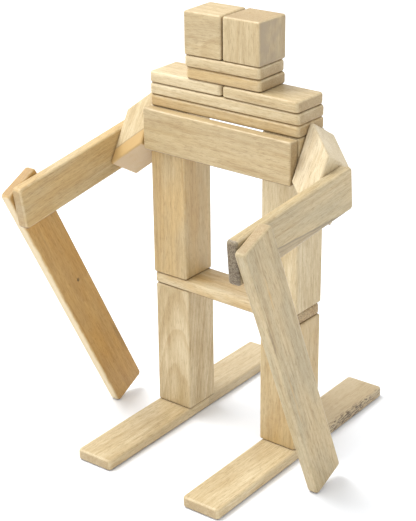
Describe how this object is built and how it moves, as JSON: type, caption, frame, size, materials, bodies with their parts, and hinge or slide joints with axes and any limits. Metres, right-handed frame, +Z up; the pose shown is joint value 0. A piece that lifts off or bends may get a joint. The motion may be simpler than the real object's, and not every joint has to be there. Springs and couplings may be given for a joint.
{
  "type": "magnetic block figure",
  "caption": "Standing figure of magnetic wooden blocks, with cube head, plank feet and arms that swivel on hidden magnets.",
  "frame": {"origin": "on the floor, under the centre of the bounding box", "axes": "+Z up; the figure looks along -Y, so its own left side is +X"},
  "size_m": [0.2018, 0.229, 0.3094],
  "materials": {
    "pale_wood": "satin, sanded, with eased edges",
    "warm_wood": "satin, sanded, with eased edges",
    "magnet": "nickel plated"
  },
  "bodies": {
    "frame": {"frame_magnets": "magnet", "knee_plank_lower": "pale_wood", "knee_plank_upper": "pale_wood", "left_chest_cube_front": "pale_wood", "left_chest_cube_rear": "pale_wood", "left_collar_plank_lower": "pale_wood", "left_collar_plank_upper": "pale_wood", "left_shin_front": "pale_wood", "left_shin_rear": "pale_wood", "left_thigh_front": "pale_wood", "left_thigh_rear": "pale_wood", "lower_neck_plank_lower": "pale_wood", "lower_neck_plank_upper": "pale_wood", "lower_shoulder_plank_lower": "pale_wood", "lower_shoulder_plank_upper": "pale_wood", "right_chest_cube_front": "pale_wood", "right_chest_cube_rear": "pale_wood", "right_collar_plank_lower": "pale_wood", "right_collar_plank_upper": "pale_wood", "right_shin_front": "pale_wood", "right_shin_rear": "pale_wood", "right_thigh_front": "pale_wood", "right_thigh_rear": "pale_wood", "upper_neck_plank_lower": "pale_wood", "upper_neck_plank_upper": "pale_wood", "upper_shoulder_plank_lower": "pale_wood", "upper_shoulder_plank_upper": "pale_wood"},
    "chest_plank": {"chest_plank_front": "pale_wood", "chest_plank_magnets": "magnet", "chest_plank_rear": "pale_wood"},
    "left_foot": {"left_foot_lower": "pale_wood", "left_foot_magnets": "magnet", "left_foot_upper": "pale_wood"},
    "left_forearm": {"left_forearm_inner": "warm_wood", "left_forearm_magnets": "magnet", "left_forearm_outer": "warm_wood"},
    "left_head_cube": {"left_head_cube_front": "pale_wood", "left_head_cube_magnets": "magnet", "left_head_cube_rear": "pale_wood"},
    "left_shoulder_block": {"left_shoulder_block_front": "pale_wood", "left_shoulder_block_magnets": "magnet", "left_shoulder_block_rear": "pale_wood"},
    "left_upper_arm": {"left_upper_arm_inner": "warm_wood", "left_upper_arm_magnets": "magnet", "left_upper_arm_outer": "warm_wood"},
    "right_foot": {"right_foot_lower": "pale_wood", "right_foot_magnets": "magnet", "right_foot_upper": "pale_wood"},
    "right_forearm": {"right_forearm_inner": "warm_wood", "right_forearm_magnets": "magnet", "right_forearm_outer": "warm_wood"},
    "right_head_cube": {"right_head_cube_front": "pale_wood", "right_head_cube_magnets": "magnet", "right_head_cube_rear": "pale_wood"},
    "right_shoulder_block": {"right_shoulder_block_front": "pale_wood", "right_shoulder_block_magnets": "magnet", "right_shoulder_block_rear": "pale_wood"},
    "right_upper_arm": {"right_upper_arm_inner": "warm_wood", "right_upper_arm_magnets": "magnet", "right_upper_arm_outer": "warm_wood"}
  },
  "joints": [
    {"name": "left_shoulder_swivel", "type": "hinge", "parent": "frame", "child": "left_shoulder_block", "pos_m": [0.06325, 0.00944, 0.2234], "axis": [1, 0, 0], "continuous": true},
    {"name": "left_arm_swivel", "type": "hinge", "parent": "left_shoulder_block", "child": "left_upper_arm", "pos_m": [0.08446, -0.00126, 0.20508], "axis": [1, 0, 0], "continuous": true},
    {"name": "left_elbow_swivel", "type": "hinge", "parent": "left_upper_arm", "child": "left_forearm", "pos_m": [0.09266, -0.09587, 0.19648], "axis": [1, 0, 0], "continuous": true},
    {"name": "right_shoulder_swivel", "type": "hinge", "parent": "frame", "child": "right_shoulder_block", "pos_m": [-0.06325, 0.00944, 0.2234], "axis": [1, 0, 0], "continuous": true},
    {"name": "right_arm_swivel", "type": "hinge", "parent": "right_shoulder_block", "child": "right_upper_arm", "pos_m": [-0.08446, -0.00126, 0.20508], "axis": [1, 0, 0], "continuous": true},
    {"name": "right_elbow_swivel", "type": "hinge", "parent": "right_upper_arm", "child": "right_forearm", "pos_m": [-0.09266, -0.09509, 0.19022], "axis": [1, 0, 0], "continuous": true},
    {"name": "left_foot_swivel", "type": "hinge", "parent": "frame", "child": "left_foot", "pos_m": [0.0487, 0.00824, 0.0082], "axis": [0, 0, 1], "range_deg": [-12, 12]},
    {"name": "right_foot_swivel", "type": "hinge", "parent": "frame", "child": "right_foot", "pos_m": [-0.0465, 0.01074, 0.0082], "axis": [0, 0, 1], "range_deg": [-12, 12]},
    {"name": "left_head_cube_lift", "type": "slide", "parent": "frame", "child": "left_head_cube", "axis": [0, 0, 1], "range_m": [0, 0.04]},
    {"name": "right_head_cube_lift", "type": "slide", "parent": "frame", "child": "right_head_cube", "axis": [0, 0, 1], "range_m": [0, 0.04]},
    {"name": "chest_plank_pull", "type": "slide", "parent": "frame", "child": "chest_plank", "axis": [0, -1, 0], "range_m": [0, 0.03]}
  ]
}
